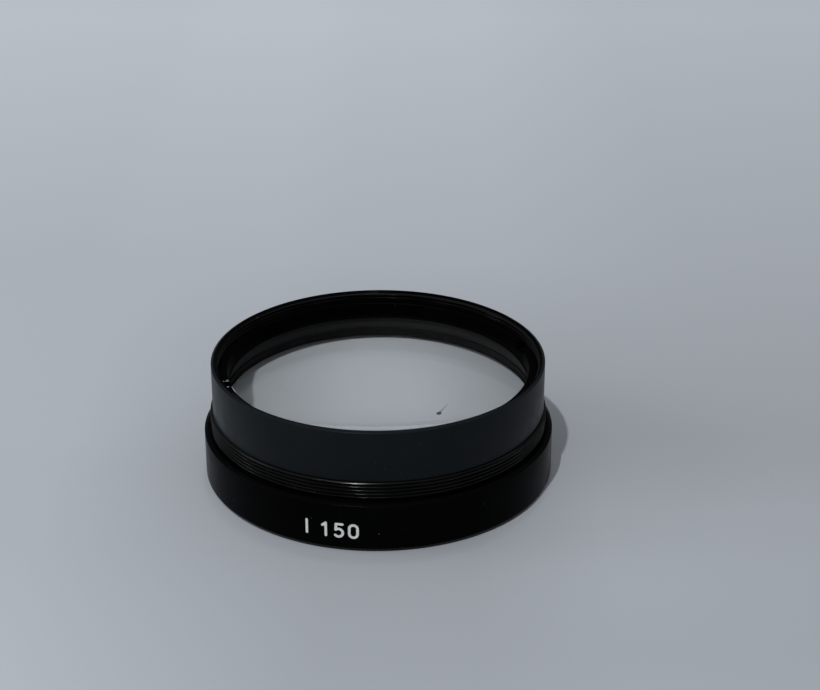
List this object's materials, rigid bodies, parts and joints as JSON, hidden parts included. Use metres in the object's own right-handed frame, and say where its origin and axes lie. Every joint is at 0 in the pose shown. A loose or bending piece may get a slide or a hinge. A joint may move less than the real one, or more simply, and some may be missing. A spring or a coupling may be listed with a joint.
{
  "type": "threaded objective lens cell",
  "caption": "Shallow threaded objective cell: a cemented doublet clamped by a slotted ring in an anodised sleeve and flange.",
  "frame": {"origin": "on the optical axis, at the face of the flange that the cell stands on", "axes": "+Z along the optical axis from the flange to the pilot sleeve; +X to the right of the engraved mark, which is on the -Y side"},
  "size_m": [0.0716, 0.0716, 0.025],
  "materials": {
    "black_anodised": "black anodised, semi-gloss, turned",
    "blue_grey_anodised": "blue-grey black anodised, satin",
    "matt_black": "matt black anodised",
    "crown_glass": "polished, coated",
    "flint_glass": "polished, coated"
  },
  "bodies": {
    "cell": {"mount_ring": "black_anodised", "cell_sleeve": "blue_grey_anodised", "crown_lens": "crown_glass", "flint_lens": "flint_glass"},
    "pressure_ring": {"pressure_ring": "matt_black"},
    "retaining_ring": {"retaining_ring": "black_anodised"}
  },
  "joints": [
    {"name": "pressure_ring_lift", "type": "slide", "parent": "cell", "child": "pressure_ring", "axis": [0, 0, 1], "range_m": [0, 0.0017]},
    {"name": "retaining_ring_turn", "type": "hinge", "parent": "pressure_ring", "child": "retaining_ring", "pos_m": [0, 0, 0.0219], "axis": [0, 0, 1], "range_deg": [0, 810]}
  ],
  "couplings": [
    {"joint": "pressure_ring_lift", "follows": "retaining_ring_turn", "m_per_rad": 0.00011937}
  ]
}
